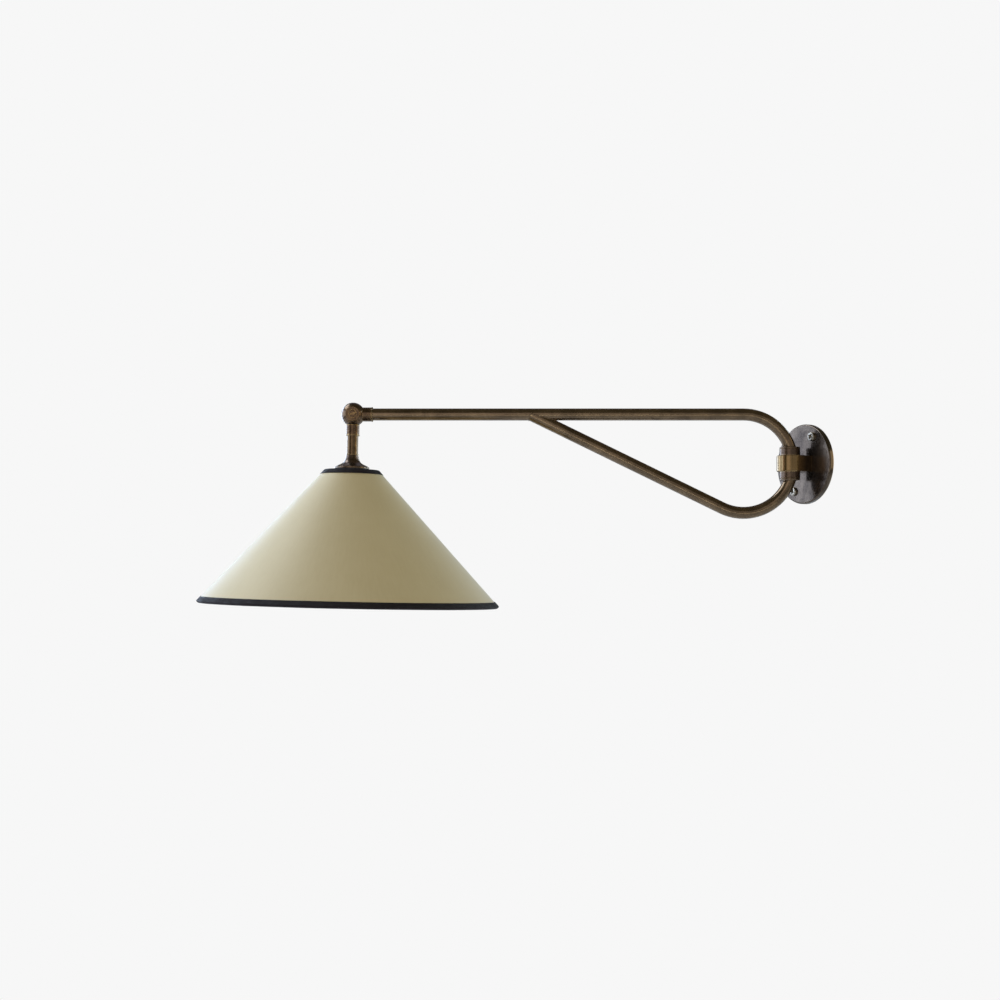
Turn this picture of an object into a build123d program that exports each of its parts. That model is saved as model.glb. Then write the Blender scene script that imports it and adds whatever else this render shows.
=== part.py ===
"""Swing arm wall sconce: wall plate with a hinge lug, a looped tube arm, a tilting knuckle, and a cone shade.

Millimetres, +Z up. The origin is the centre of the wall plate's back, the wall is the plane Y = 0 and the
light stands on its -Y side. At rest the arm is swung to one side of square, and the head hangs from it.
"""
from build123d import *
from math import acos, asin, cos, degrees, radians, sin, sqrt, tan
import os

# ---- driving dimensions ------------------------------------------------------------------------------------
plate_radius = 40.0
plate_depth = 5.0
plate_face = 2.0            # thickness of the plate's face over its hollow back
plate_rim = 3.0             # thickness of the plate's rim wall
plate_edge = 1.5            # rounding of the front edge
box_screw_circle = 60.3     # pitch circle of the wall box's two lugs
box_screw_angle = 63.0      # direction of the upper screw, anticlockwise from the horizontal, seen from the room
box_screw_radius = 1.75
box_screw_length = 8.0      # thread beyond the wall plane
box_relief_radius = 1.3     # shank under the head, relieved below the thread's root so that the plate keeps the screw
box_thread_start = 2.4      # start of the thread in front of the wall plane, inside the plate's hollow

hinge_offset = 22.0         # hinge axis in front of the wall
barrel_radius = 13.0
barrel_half = 8.0           # half the height of the lug's barrel
collar_radius = 10.2
collar_height = 8.0
washer_thickness = 0.45
washer_gap = 0.05
pin_radius = 5.0
pin_bore = 3.6
running_gap = 0.06          # radial clearance of the pin in the barrel
lug_channel = 3.2
spigot_radius = 7.0

swing_angle = 30.0          # arm's swing from square at rest, towards -X
tube_radius = 6.0
tube_bore = 4.8
loop_radius = 49.2          # centreline radius of the loop
brace_angle = 26.0          # slope of the brace under the arm
arm_reach = 436.6           # hinge axis to knuckle axis
fit_gap = 0.03              # gap left round a brazed or threaded tube end

hang_angle = 1.3            # the head's lean from plumb at rest
ball_radius = 11.8
ball_cavity = 9.3
boss_radius = 5.0
half_gap = 0.2              # half the gap between the two knuckle halves
ball_clearance = 0.7        # each neck stands off the other half's ball by this
arm_neck_radius = 7.0
arm_neck_length = 18.3      # knuckle axis to the neck's mouth
stem_neck_radius = 6.5
stem_neck_length = 20.2
neck_socket = 6.5           # depth of the tube sockets in both necks
screw_radius = 2.0
knuckle_face = 9.6          # from the knuckle's middle plane to the flat outside of each half
screw_seat = 8.2            # from the knuckle's middle plane to the seat of the screw's head
nut_seat = 7.6              # and to the seat of the nut's washer

stem_radius = 5.6
stem_bore = 4.6
foot_top = -40.6            # heights of the head's parts run along its stem, from the knuckle axis
gallery_radius = 17.2
gallery_rim = -54.0
holder_radius = 14.0
holder_top = -55.0
holder_bottom = -98.0

shade_slope = 42.7          # half angle of the cone
card = 0.8
shade_radius = 149.9        # outside of the card at its lower edge
shade_bottom = -189.0
shade_top = -55.7
tape = 0.4                  # thickness of the fabric binding
top_binding = 6.4           # width of the binding on the card, along the slope
bottom_binding = 6.1
bottom_wire = 0.8
top_wire = 1.25

flex_radius = 2.0

os.makedirs("parts", exist_ok=True)
pieces = []

# ---- frames ------------------------------------------------------------------------------------------------
up = Vector(0, 0, 1)
hinge_point = Vector(0, -hinge_offset, 0)
arm_out = Vector(-sin(radians(swing_angle)), -cos(radians(swing_angle)), 0)
far_side = arm_out.cross(up)                    # square to the arm's plane

arm_side = Plane(origin=hinge_point, x_dir=arm_out, z_dir=far_side)     # local x outwards, local y up
arm_plan = Plane(origin=hinge_point, x_dir=arm_out, z_dir=up)
hinge_axis = Axis(hinge_point, up)

knuckle_point = arm_side.from_local_coords(Vector(arm_reach, loop_radius, 0))
tube_axis = Axis(knuckle_point, arm_out)
knuckle_axis = Axis(knuckle_point, far_side)
neck_side = Plane(origin=knuckle_point, x_dir=arm_out, z_dir=far_side)
knuckle_plan = Plane(origin=knuckle_point, x_dir=arm_out, z_dir=up)     # local y points out of the near side

head_up = up * cos(radians(hang_angle)) - arm_out * sin(radians(hang_angle))
head_out = arm_out * cos(radians(hang_angle)) + up * sin(radians(hang_angle))
head_side = Plane(origin=knuckle_point, x_dir=head_out, z_dir=far_side)     # local y is the stem's axis, upwards
head_plan = Plane(origin=knuckle_point, x_dir=head_out, z_dir=head_up)
down_stem = Plane(origin=knuckle_point, x_dir=head_out, z_dir=-head_up)
stem_axis = Axis(knuckle_point, head_up)

collar_foot = barrel_half + washer_gap + washer_thickness
collar_end = collar_foot + collar_height
loop_centre = sqrt(loop_radius**2 - collar_end**2)      # along the arm, from the hinge axis


def keep(piece, name):
    """Labels a finished piece and puts it on the list to be written."""
    piece.part.label = name
    pieces.append(piece.part)


# ---- wall plate --------------------------------------------------------------------------------------------
plate_front = -plate_depth
wall_face = Plane(origin=(0, 0, 0), x_dir=(1, 0, 0), z_dir=(0, -1, 0))  # local z out of the wall, local y up
half_turn = 180.0
screw_places = [
    (box_screw_circle / 2 * cos(radians(a)), box_screw_circle / 2 * sin(radians(a)))
    for a in (box_screw_angle, box_screw_angle + half_turn)
]
plate_hole = 2.25

with BuildPart() as wall_plate:
    with BuildSketch(wall_face):
        Circle(plate_radius)
    extrude(amount=plate_depth)
    fillet(wall_plate.edges().group_by(Axis.Y)[0], plate_edge)
    with BuildSketch(wall_face):
        Circle(plate_radius - plate_rim)
    extrude(amount=plate_depth - plate_face, mode=Mode.SUBTRACT)
    with BuildSketch(wall_face):
        Circle(spigot_radius + fit_gap)
        with Locations(*screw_places):
            Circle(plate_hole)
    extrude(amount=plate_depth, mode=Mode.SUBTRACT)
keep(wall_plate, "wall_plate")

# ---- hinge lug: a round-nosed block with a threaded spigot through the plate -----------------------------------
spigot_end = 0.3            # the spigot stops this far inside the wall plane
lug_edge = 0.6

with BuildPart() as hinge_lug:
    with BuildSketch(Plane.XY.offset(-barrel_half)):
        with Locations((0, -hinge_offset)):
            Circle(barrel_radius)
        with Locations((0, (plate_front - hinge_offset) / 2)):
            Rectangle(2 * barrel_radius, hinge_offset + plate_front)
    extrude(amount=2 * barrel_half)
    chamfer(hinge_lug.faces().filter_by(Axis.Z).edges().filter_by(GeomType.CIRCLE), lug_edge)
    with BuildSketch(wall_face.offset(spigot_end)):
        Circle(spigot_radius)
    extrude(amount=plate_depth)
    with BuildSketch(Plane.XY.offset(-barrel_half)):
        with Locations((0, -hinge_offset)):
            Circle(pin_radius + running_gap)
    extrude(amount=2 * barrel_half, mode=Mode.SUBTRACT)
    with BuildSketch(wall_face.offset(spigot_end)):
        Circle(lug_channel)
    extrude(amount=hinge_offset - spigot_end, mode=Mode.SUBTRACT)
keep(hinge_lug, "hinge_lug")

# ---- nut and earth tag behind the plate ------------------------------------------------------------------------
tag_thickness = 0.5
nut_thickness = 2.0
nut_radius = 10.5
tag_reach = 19.0
tag_width = 6.0
tag_hole = 1.6
pocket_floor = plate_depth - plate_face

with BuildPart() as earth_tag:
    with BuildSketch(wall_face.offset(pocket_floor - tag_thickness)):
        Circle(nut_radius)
        with Locations((-tag_reach / 2, 0)):
            SlotOverall(tag_reach, tag_width)
        Circle(spigot_radius + fit_gap, mode=Mode.SUBTRACT)
        with Locations((-tag_reach + tag_width / 2, 0)):
            Circle(tag_hole, mode=Mode.SUBTRACT)
    extrude(amount=tag_thickness)
keep(earth_tag, "earth_tag")

with BuildPart() as lug_nut:
    with BuildSketch(wall_face.offset(pocket_floor - tag_thickness - nut_thickness)):
        RegularPolygon(nut_radius, 6)
        Circle(spigot_radius + fit_gap, mode=Mode.SUBTRACT)
    extrude(amount=nut_thickness)
keep(lug_nut, "lug_nut")

# ---- the two wall box screws -----------------------------------------------------------------------------------
box_head_radius = 4.5
box_head_height = 2.4
box_head_dome = 1.2
cross_length = 5.4
cross_width = 1.3
cross_depth = 1.8
dimple_radius = 1.9

with BuildPart() as wall_screws:
    with BuildSketch(wall_face.offset(plate_depth)):
        with Locations(*screw_places):
            Circle(box_head_radius)
    extrude(amount=box_head_height)
    head_rims = wall_screws.faces().sort_by(Axis.Y)[:2].edges()
    fillet(head_rims, box_head_dome)
    with BuildSketch(wall_face.offset(-box_screw_length)):
        with Locations(*screw_places):
            Circle(box_screw_radius)
    extrude(amount=box_screw_length + box_thread_start)
    with BuildSketch(wall_face.offset(box_thread_start)):
        with Locations(*screw_places):
            Circle(box_relief_radius)
    extrude(amount=plate_depth - box_thread_start)
    with BuildSketch(wall_face.offset(plate_depth + box_head_height - cross_depth)):
        with Locations(*screw_places):
            Rectangle(cross_length, cross_width, rotation=box_screw_angle)
            Rectangle(cross_width, cross_length, rotation=box_screw_angle)
            Circle(dimple_radius)
    extrude(amount=cross_depth, mode=Mode.SUBTRACT)
keep(wall_screws, "wall_screws")

# ---- flex in the lug -------------------------------------------------------------------------------------------
flex_stop = 0.6             # the flex stops this far from the turning pin

with BuildPart() as wall_flex:
    with BuildSketch(wall_face.offset(spigot_end)):
        Circle(flex_radius)
    extrude(amount=hinge_offset - pin_radius - flex_stop - spigot_end)
keep(wall_flex, "wall_flex")

# ---- hollow pivot pin ------------------------------------------------------------------------------------------
window_half = 4.0
window_wall = 1.2           # the window is cut back past the axis by this

with BuildPart() as pivot_pin:
    with BuildSketch(arm_plan.offset(-collar_end)):
        Circle(pin_radius)
    extrude(amount=2 * collar_end)
    with BuildSketch(arm_plan.offset(-window_half)):
        Circle(pin_bore)
    extrude(amount=collar_end + window_half, mode=Mode.SUBTRACT)
    with BuildSketch(arm_plan.offset(-window_half)):
        with Locations(((window_wall - pin_radius) / 2 - window_wall, 0)):
            Rectangle(pin_radius + window_wall, 2 * pin_radius + 1)
    extrude(amount=2 * window_half, mode=Mode.SUBTRACT)
keep(pivot_pin, "pivot_pin")

# ---- collars, thrust washers and grub screws -------------------------------------------------------------------
collar_lip = 1.4            # height of the lip at a collar's outer end
groove_depth = 0.5
groove_width = 0.7
collar_break = 0.4
grub_radius = 1.5
grub_height = collar_foot + collar_height / 2

for name, hand in (("upper_collar", 1), ("lower_collar", -1)):
    with BuildPart() as collar:
        with BuildSketch(arm_side):
            with BuildLine():
                Polyline(
                    (pin_radius + fit_gap, hand * collar_foot),
                    (collar_radius, hand * collar_foot),
                    (collar_radius, hand * (collar_end - collar_lip - groove_width)),
                    (collar_radius - groove_depth, hand * (collar_end - collar_lip - groove_width / 2)),
                    (collar_radius, hand * (collar_end - collar_lip)),
                    (collar_radius, hand * (collar_end - collar_break)),
                    (collar_radius - collar_break, hand * collar_end),
                    (pin_radius + fit_gap, hand * collar_end),
                    close=True,
                )
            make_face()
        revolve(axis=hinge_axis)
        with BuildSketch(Plane(origin=hinge_point, x_dir=up, z_dir=-arm_out)):
            with Locations((hand * grub_height, 0)):
                Circle(grub_radius + fit_gap)
        extrude(amount=collar_radius + 1, mode=Mode.SUBTRACT)
    keep(collar, name)

with BuildPart() as thrust_washers:
    for level in (barrel_half + washer_gap, -collar_foot):
        with BuildSketch(arm_plan.offset(level)):
            Circle(collar_radius)
            Circle(pin_radius + fit_gap, mode=Mode.SUBTRACT)
        extrude(amount=washer_thickness)
keep(thrust_washers, "thrust_washers")

grub_inner = pin_radius + 0.1
grub_length = 4.4

with BuildPart() as collar_grub_screws:
    with BuildSketch(Plane(origin=hinge_point, x_dir=up, z_dir=-arm_out).offset(grub_inner)):
        with Locations((grub_height, 0), (-grub_height, 0)):
            Circle(grub_radius)
            RegularPolygon(0.8, 6, mode=Mode.SUBTRACT)
    extrude(amount=grub_length)
keep(collar_grub_screws, "collar_grub_screws")

# ---- arm tube: collar, upper half of the loop, straight run to the knuckle --------------------------------------
arm_tube_end = arm_reach - arm_neck_length + neck_socket
loop_overrun = 4.0          # each loop tube starts this far inside its collar and is then cut flush with it
start_angle = 180.0 - degrees(asin((collar_end - loop_overrun) / loop_radius))

with BuildPart() as arm_tube:
    with BuildLine(arm_side) as arm_path:
        bend = CenterArc((loop_centre, 0), loop_radius, start_angle, 90.0 - start_angle)
        Line(bend @ 1, (arm_tube_end, loop_radius))
    with BuildSketch(Plane(origin=arm_path.wire() @ 0, z_dir=arm_path.wire() % 0)):
        Circle(tube_radius)
        Circle(tube_bore, mode=Mode.SUBTRACT)
    sweep(path=arm_path.wire())
    split(bisect_by=Plane.XY.offset(collar_end), keep=Keep.TOP)
keep(arm_tube, "arm_tube")

# ---- brace: lower half of the loop and the sloping run back up to the arm ---------------------------------------
tangent_angle = brace_angle - 90.0
brace_foot = (
    loop_centre + loop_radius * cos(radians(tangent_angle)),
    loop_radius * sin(radians(tangent_angle)),
)
brace_rise = loop_radius - brace_foot[1]
brace_top = (brace_foot[0] + brace_rise / tan(radians(brace_angle)), loop_radius)

with BuildPart() as brace_tube:
    with BuildLine(arm_side) as brace_path:
        under = CenterArc((loop_centre, 0), loop_radius, -start_angle, tangent_angle + start_angle)
        Line(under @ 1, brace_top)
    with BuildSketch(Plane(origin=brace_path.wire() @ 0, z_dir=brace_path.wire() % 0)):
        Circle(tube_radius)
        Circle(tube_bore, mode=Mode.SUBTRACT)
    sweep(path=brace_path.wire())
    with BuildSketch(arm_plan.offset(-collar_end)):
        Circle(collar_radius)
    extrude(amount=collar_end, mode=Mode.SUBTRACT)
    with BuildSketch(Plane(origin=arm_side.from_local_coords(Vector(0, loop_radius, 0)), z_dir=arm_out)):
        Circle(tube_radius + fit_gap)
    extrude(amount=arm_reach, mode=Mode.SUBTRACT)
keep(brace_tube, "brace_tube")

# ---- ring at the mouth of the arm's neck -----------------------------------------------------------------------
ring_proud = 0.3
ring_width = 1.3
ring_gap = 0.05

with BuildPart() as arm_ring:
    with BuildSketch(Plane(origin=knuckle_point, z_dir=-arm_out).offset(arm_neck_length + ring_gap)):
        Circle(arm_neck_radius + ring_proud)
        Circle(tube_radius + fit_gap, mode=Mode.SUBTRACT)
    extrude(amount=ring_width)
    fillet(arm_ring.edges().filter_by(GeomType.CIRCLE).group_by(SortBy.RADIUS)[-1], ring_proud)
keep(arm_ring, "arm_ring")

# ---- flex in the arm -------------------------------------------------------------------------------------------
flex_start = -1.5
flex_bend = 10.0            # height at which the flex leaves the pin's axis
flex_join = 150.0           # direction, from the loop's centre, where it meets the tube's centreline
flex_tip = arm_reach - arm_neck_length + neck_socket - 1.0

with BuildPart() as arm_flex:
    with BuildLine(arm_side) as flex_path:
        rise = Line((0, flex_start), (0, flex_bend))
        follow = CenterArc((loop_centre, 0), loop_radius, flex_join, 90.0 - flex_join)
        Spline(rise @ 1, follow @ 0, tangents=(rise % 1, follow % 0))
        Line(follow @ 1, (flex_tip, loop_radius))
    with BuildSketch(Plane(origin=flex_path.wire() @ 0, z_dir=flex_path.wire() % 0)):
        Circle(flex_radius)
    sweep(path=flex_path.wire())
keep(arm_flex, "arm_flex")

# ---- knuckle: the arm's half -----------------------------------------------------------------------------------
neck_bore = 4.2
screw_hole = screw_radius + 0.05
boss_height = 9.2
counterbore = 3.9
near_face = neck_side.offset(-half_gap)
far_face = neck_side.offset(half_gap)
near_out = Plane(origin=knuckle_point, x_dir=arm_out, z_dir=-far_side)
down_arm = Plane(origin=knuckle_point, x_dir=up, z_dir=-arm_out)

with BuildPart() as knuckle_arm_half:
    with Locations(neck_side):
        Sphere(ball_radius)
    split(bisect_by=near_face, keep=Keep.BOTTOM)
    split(bisect_by=neck_side.offset(-knuckle_face), keep=Keep.TOP)
    with BuildSketch(down_arm):
        Circle(arm_neck_radius)
    extrude(amount=arm_neck_length)
    with Locations(near_face):
        Sphere(ball_radius + ball_clearance, arc_size1=0, arc_size2=90,
               align=(Align.CENTER, Align.CENTER, Align.MIN), mode=Mode.SUBTRACT)
    with Locations(neck_side):
        Sphere(ball_cavity, mode=Mode.SUBTRACT)
    with BuildSketch(near_out.offset(half_gap)):
        Circle(boss_radius)
    extrude(amount=boss_height)
    with BuildSketch(down_arm.offset(ball_cavity - 1)):
        Circle(neck_bore)
    extrude(amount=arm_neck_length, mode=Mode.SUBTRACT)
    with BuildSketch(down_arm.offset(arm_neck_length - neck_socket)):
        Circle(tube_radius + fit_gap)
    extrude(amount=neck_socket, mode=Mode.SUBTRACT)
    with BuildSketch(near_out):
        Circle(screw_hole)
    extrude(amount=ball_radius, mode=Mode.SUBTRACT)
    with BuildSketch(near_out.offset(screw_seat)):
        Circle(counterbore)
    extrude(amount=ball_radius, mode=Mode.SUBTRACT)
keep(knuckle_arm_half, "knuckle_arm_half")

# ---- knuckle: the stem's half ----------------------------------------------------------------------------------
nut_pocket = 4.3

with BuildPart() as knuckle_stem_half:
    with Locations(neck_side):
        Sphere(ball_radius)
    split(bisect_by=far_face, keep=Keep.TOP)
    split(bisect_by=neck_side.offset(knuckle_face), keep=Keep.BOTTOM)
    with BuildSketch(down_stem):
        Circle(stem_neck_radius)
    extrude(amount=stem_neck_length)
    with Locations(far_face):
        Sphere(ball_radius + ball_clearance, arc_size1=-90, arc_size2=0,
               align=(Align.CENTER, Align.CENTER, Align.MAX), mode=Mode.SUBTRACT)
    with Locations(neck_side):
        Sphere(ball_cavity, mode=Mode.SUBTRACT)
    with BuildSketch(far_face):
        Circle(boss_radius)
    extrude(amount=boss_height)
    with BuildSketch(down_stem.offset(ball_cavity - 1)):
        Circle(neck_bore)
    extrude(amount=stem_neck_length, mode=Mode.SUBTRACT)
    with BuildSketch(down_stem.offset(stem_neck_length - neck_socket)):
        Circle(stem_radius + fit_gap)
    extrude(amount=neck_socket, mode=Mode.SUBTRACT)
    with BuildSketch(neck_side):
        Circle(screw_hole)
    extrude(amount=ball_radius, mode=Mode.SUBTRACT)
    with BuildSketch(neck_side.offset(nut_seat)):
        Circle(nut_pocket)
    extrude(amount=ball_radius, mode=Mode.SUBTRACT)
keep(knuckle_stem_half, "knuckle_stem_half")

# ---- knuckle: screw, nut, washer and friction disc -------------------------------------------------------------
screw_head = 3.6
screw_head_height = 1.8
screw_head_dome = 0.6
screw_tip = 10.4
slot_width = 1.0
slot_depth = 0.9
nut_height = 2.1
nut_corner = 4.0
washer_seat_gap = 0.02

with BuildPart() as knuckle_screw:
    with BuildSketch(near_out.offset(screw_seat + washer_seat_gap)):
        Circle(screw_head)
    extrude(amount=screw_head_height)
    fillet(knuckle_screw.edges().sort_by(knuckle_axis)[0], screw_head_dome)
    with BuildSketch(near_out.offset(screw_seat + washer_seat_gap + screw_head_height - slot_depth)):
        Rectangle(2 * screw_head, slot_width, rotation=20)
    extrude(amount=slot_depth, mode=Mode.SUBTRACT)
    with BuildSketch(near_out.offset(-screw_tip)):
        Circle(screw_radius)
    extrude(amount=screw_tip + screw_seat + washer_seat_gap)
keep(knuckle_screw, "knuckle_screw")

knuckle_washer_thickness = 0.5

with BuildPart() as knuckle_washer:
    with BuildSketch(neck_side.offset(nut_seat + washer_seat_gap)):
        Circle(nut_corner)
        Circle(screw_hole, mode=Mode.SUBTRACT)
    extrude(amount=knuckle_washer_thickness)
keep(knuckle_washer, "knuckle_washer")

with BuildPart() as knuckle_nut:
    with BuildSketch(neck_side.offset(nut_seat + 2 * washer_seat_gap + knuckle_washer_thickness)):
        RegularPolygon(nut_corner, 6)
        Circle(screw_radius + fit_gap, mode=Mode.SUBTRACT)
    extrude(amount=nut_height)
keep(knuckle_nut, "knuckle_nut")

with BuildPart() as friction_disc:
    with BuildSketch(neck_side.offset(washer_seat_gap - half_gap)):
        Circle(boss_radius)
        Circle(screw_hole, mode=Mode.SUBTRACT)
    extrude(amount=2 * (half_gap - washer_seat_gap))
keep(friction_disc, "friction_disc")

# ---- stem tube and its rings -----------------------------------------------------------------------------------
stem_end = -58.0
stem_ring_radius = 6.1
stem_ring_height = 1.0

with BuildPart() as stem_tube:
    with BuildSketch(down_stem.offset(stem_neck_length - neck_socket)):
        Circle(stem_radius)
        Circle(stem_bore, mode=Mode.SUBTRACT)
    extrude(amount=-stem_end - stem_neck_length + neck_socket)
keep(stem_tube, "stem_tube")

with BuildPart() as neck_ring:
    with BuildSketch(down_stem.offset(stem_neck_length + ring_gap)):
        Circle(stem_neck_radius + ring_proud)
        Circle(stem_radius + fit_gap, mode=Mode.SUBTRACT)
    extrude(amount=ring_width)
    fillet(neck_ring.edges().filter_by(GeomType.CIRCLE).group_by(SortBy.RADIUS)[-1], ring_proud)
keep(neck_ring, "neck_ring")

with BuildPart() as stem_ring:
    with BuildSketch(down_stem.offset(-foot_top - stem_ring_height - ring_gap)):
        Circle(stem_ring_radius)
        Circle(stem_radius + fit_gap, mode=Mode.SUBTRACT)
    extrude(amount=stem_ring_height)
    fillet(stem_ring.edges().filter_by(GeomType.CIRCLE).group_by(SortBy.RADIUS)[-1], ring_proud)
keep(stem_ring, "stem_ring")

# ---- gallery: a trumpet foot spreading into a shallow saucer ---------------------------------------------------
foot_neck = 5.9
foot_flare = [(6.7, -44.0), (7.7, -46.6), (9.4, -48.6), (12.6, -50.4), (15.4, -51.7)]
saucer_edge = -52.9
saucer_wall = 0.7
saucer_under = -49.9
saucer_hollow = 10.0

with BuildPart() as gallery:
    with BuildSketch(head_side):
        with BuildLine():
            Spline((foot_neck, foot_top), *foot_flare, (gallery_radius, saucer_edge))
            Polyline(
                (gallery_radius, saucer_edge),
                (gallery_radius, gallery_rim),
                (gallery_radius - saucer_wall, gallery_rim),
                (gallery_radius - saucer_wall, saucer_edge - saucer_wall),
                (saucer_hollow, saucer_under),
                (stem_radius + fit_gap, saucer_under),
                (stem_radius + fit_gap, foot_top),
                (foot_neck, foot_top),
            )
        make_face()
    revolve(axis=stem_axis)
keep(gallery, "gallery")

# ---- lampholder: cap, nut, body, terminal block ----------------------------------------------------------------
cap_top = saucer_under - ring_gap
cap_shoulder = 8.5
cap_flange = 15.2
cap_flange_top = -53.5
cap_under = -54.0
cap_skirt = 12.2
cap_skirt_bore = 10.7
cap_skirt_end = -62.0
block_bottom = -73.0
mouth_bore = 10.5
seat_gap = 0.03

with BuildPart() as holder_cap:
    with BuildSketch(head_side):
        with BuildLine():
            Polyline(
                (stem_radius + fit_gap, cap_top),
                (cap_shoulder, cap_top),
                (cap_flange, cap_flange_top),
                (cap_flange, holder_top),
                (cap_skirt, holder_top),
                (cap_skirt, cap_skirt_end),
                (cap_skirt_bore, cap_skirt_end),
                (cap_skirt_bore, cap_under),
                (stem_radius + fit_gap, cap_under),
                close=True,
            )
        make_face()
    revolve(axis=stem_axis)
keep(holder_cap, "holder_cap")

stem_nut_corner = 8.0
stem_nut_height = 2.5

with BuildPart() as stem_nut:
    with BuildSketch(down_stem.offset(-cap_under + seat_gap)):
        RegularPolygon(stem_nut_corner, 6)
        Circle(stem_radius + fit_gap, mode=Mode.SUBTRACT)
    extrude(amount=stem_nut_height)
keep(stem_nut, "stem_nut")

with BuildPart() as holder_body:
    with BuildSketch(head_side):
        with BuildLine():
            Polyline(
                (cap_skirt + fit_gap, holder_top - seat_gap),
                (holder_radius, holder_top - seat_gap),
                (holder_radius, holder_bottom),
                (mouth_bore, holder_bottom),
                (mouth_bore, block_bottom - seat_gap),
                (cap_skirt + fit_gap, block_bottom - seat_gap),
                close=True,
            )
        make_face()
    revolve(axis=stem_axis)
keep(holder_body, "holder_body")

core_radius = 0.9
core_place = 6.0
core_bore = 1.3
terminal_radius = 1.4
terminal_head = 2.2
terminal_head_height = 1.6
terminal_depth = 6.0
block_top = cap_skirt_end - seat_gap
core_places = [(-core_place, 0), (core_place, 0)]
terminal_places = [(0, -core_place), (0, core_place)]

with BuildPart() as holder_block:
    with BuildSketch(down_stem.offset(-block_top)):
        Circle(cap_skirt - seat_gap)
        with Locations(*core_places):
            Circle(core_bore, mode=Mode.SUBTRACT)
    extrude(amount=block_top - block_bottom)
    with BuildSketch(down_stem.offset(-block_top)):
        with Locations(*terminal_places):
            Circle(terminal_radius + fit_gap)
    extrude(amount=terminal_depth + fit_gap, mode=Mode.SUBTRACT)
keep(holder_block, "holder_block")

with BuildPart() as terminal_screws:
    with BuildSketch(down_stem.offset(-block_top - terminal_head_height - seat_gap)):
        with Locations(*terminal_places):
            Circle(terminal_head)
    extrude(amount=terminal_head_height)
    with BuildSketch(down_stem.offset(-block_top - terminal_head_height - seat_gap)):
        with Locations(*terminal_places):
            Rectangle(2 * terminal_head, slot_width / 2)
    extrude(amount=slot_depth, mode=Mode.SUBTRACT)
    with BuildSketch(down_stem.offset(-block_top - seat_gap)):
        with Locations(*terminal_places):
            Circle(terminal_radius)
    extrude(amount=terminal_depth)
keep(terminal_screws, "terminal_screws")

# ---- threaded shell and centre contact -------------------------------------------------------------------------
lamp_cap_radius = 7.0
shell_bore = 7.15
shell_wall = 0.5
shell_flange = 9.4
shell_bottom = -93.0
shell_top = block_bottom - seat_gap
tip_top = -75.4
contact_width = 4.0
contact_thickness = 0.4

with BuildPart() as threaded_shell:
    with BuildSketch(head_side):
        with BuildLine():
            Polyline(
                (shell_bore, shell_top),
                (shell_flange, shell_top),
                (shell_flange, shell_top - shell_wall),
                (shell_bore + shell_wall, shell_top - shell_wall),
                (shell_bore + shell_wall, shell_bottom),
                (shell_bore, shell_bottom),
                close=True,
            )
        make_face()
    revolve(axis=stem_axis)
keep(threaded_shell, "threaded_shell")

with BuildPart() as centre_contact:
    with BuildSketch(head_side):
        with BuildLine():
            Polyline(
                (-4.6, shell_top),
                (-3.2, shell_top),
                (-3.2, shell_top - contact_thickness),
                (-3.0, shell_top - contact_thickness),
                (-1.8, tip_top + contact_thickness + fit_gap),
                (2.0, tip_top + contact_thickness + fit_gap),
                (2.0, tip_top + fit_gap),
                (-2.1, tip_top + fit_gap),
                (-3.4, shell_top - 2 * contact_thickness),
                (-4.6, shell_top - contact_thickness),
                close=True,
            )
        make_face()
    extrude(amount=contact_width / 2, both=True)
keep(centre_contact, "centre_contact")

# ---- flex and its two cores in the head ------------------------------------------------------------------------
sheath_end = 56.0
core_spread_end = block_top - 5.0

with BuildPart() as head_flex:
    with BuildSketch(down_stem.offset(stem_neck_length - neck_socket + 1)):
        Circle(flex_radius)
    extrude(amount=sheath_end - stem_neck_length + neck_socket - 1)
keep(head_flex, "head_flex")

core_start = 1.0
core_head = -57.0
core_turn = -60.2

with BuildPart() as head_cores:
    for side in (-1, 1):
        with BuildLine(head_side) as core_path:
            Polyline(
                (side * core_start, core_head),
                (side * core_place, core_turn),
                (side * core_place, core_spread_end),
            )
        with BuildSketch(Plane(origin=core_path.wire() @ 0, z_dir=core_path.wire() % 0)):
            Circle(core_radius)
        sweep(path=core_path.wire(), transition=Transition.ROUND)
keep(head_cores, "head_cores")

# ---- lamp ------------------------------------------------------------------------------------------------------
globe_radius = 22.5
globe_centre = -130.4
glass_wall = 0.7
glass_neck = 6.5
glass_top = -90.0
neck_end = -95.5
globe_join = 50.0           # the neck meets the globe this far above its equator
lamp_cap_wall = 0.25
insulator_base = -77.5
insulator_radius = 4.4
tip_radius = 2.3
tip_base = -75.9

with BuildPart() as lamp_cap:
    with BuildSketch(head_side):
        with BuildLine():
            Polyline(
                (insulator_radius, insulator_base),
                (lamp_cap_radius, insulator_base - 1.4),
                (lamp_cap_radius, shell_bottom - 0.8),
                (lamp_cap_radius - lamp_cap_wall, shell_bottom - 0.8),
                (lamp_cap_radius - lamp_cap_wall, insulator_base - 1.6),
                (insulator_radius, insulator_base - lamp_cap_wall),
                close=True,
            )
        make_face()
    revolve(axis=stem_axis)
keep(lamp_cap, "lamp_cap")

with BuildPart() as lamp_insulator:
    with BuildSketch(head_side):
        with BuildLine():
            Polyline(
                (0, tip_base),
                (tip_radius, tip_base),
                (insulator_radius - fit_gap, insulator_base),
                (insulator_radius - fit_gap, insulator_base - 1),
                (0, insulator_base - 1),
                close=True,
            )
        make_face()
    revolve(axis=stem_axis)
keep(lamp_insulator, "lamp_insulator")

with BuildPart() as lamp_tip:
    with BuildSketch(down_stem.offset(-tip_top)):
        Circle(tip_radius - 0.3)
    extrude(amount=tip_top - tip_base - seat_gap)
keep(lamp_tip, "lamp_tip")

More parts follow.
